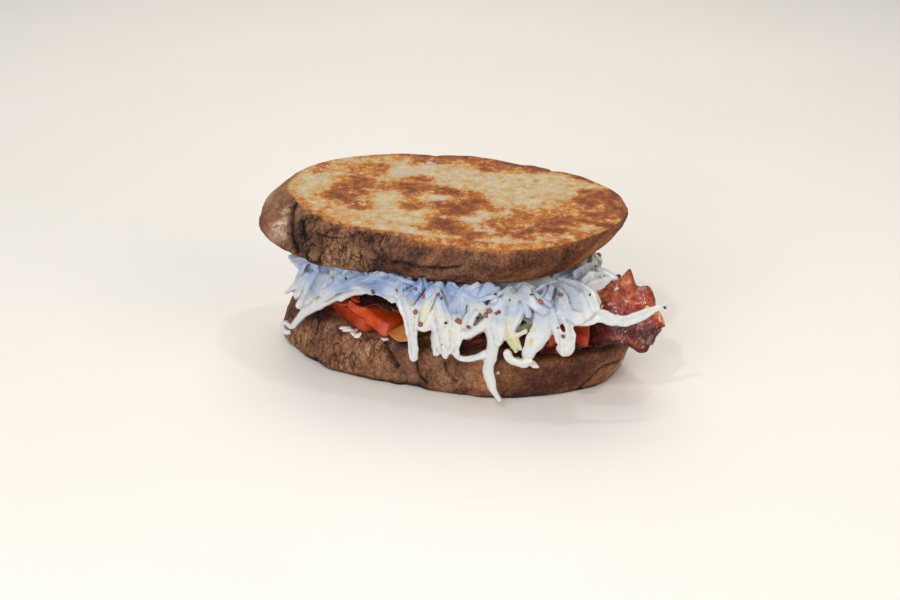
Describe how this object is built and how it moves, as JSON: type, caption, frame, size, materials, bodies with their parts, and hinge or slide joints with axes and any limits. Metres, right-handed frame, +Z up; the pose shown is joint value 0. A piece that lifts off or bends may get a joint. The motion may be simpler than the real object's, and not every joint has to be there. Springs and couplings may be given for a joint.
{
  "type": "bacon cheese tomato sandwich",
  "caption": "Toasted sourdough sandwich filled with tomato, melted cheese, fried bacon and creamy cabbage slaw that spills over its front edge.",
  "frame": {"origin": "a point on the lower slice's flat underside, within 8 mm of its middle, on the surface that the sandwich rests on", "axes": "+X along the slices towards the end where the rasher sticks out, +Z up, -Y towards the side that the slaw spills over"},
  "size_m": [0.1603, 0.0852, 0.0654],
  "materials": {
    "bread": "matte brown crust with a golden griddled face",
    "tomato": "wet, slightly translucent",
    "cheese": "satin, melted",
    "bacon": "greasy gloss, streaked with fat",
    "slaw": "wet cream dressing"
  },
  "bodies": {
    "root": {"bread_lower": "bread", "bread_upper": "bread", "tomato_1": "tomato", "tomato_2": "tomato", "tomato_3": "tomato", "tomato_4": "tomato", "tomato_5": "tomato", "tomato_6": "tomato", "cheese": "cheese", "bacon_1": "bacon", "bacon_2": "bacon", "bacon_3": "bacon", "bacon_4": "bacon", "slaw": "slaw"}
  },
  "joints": []
}
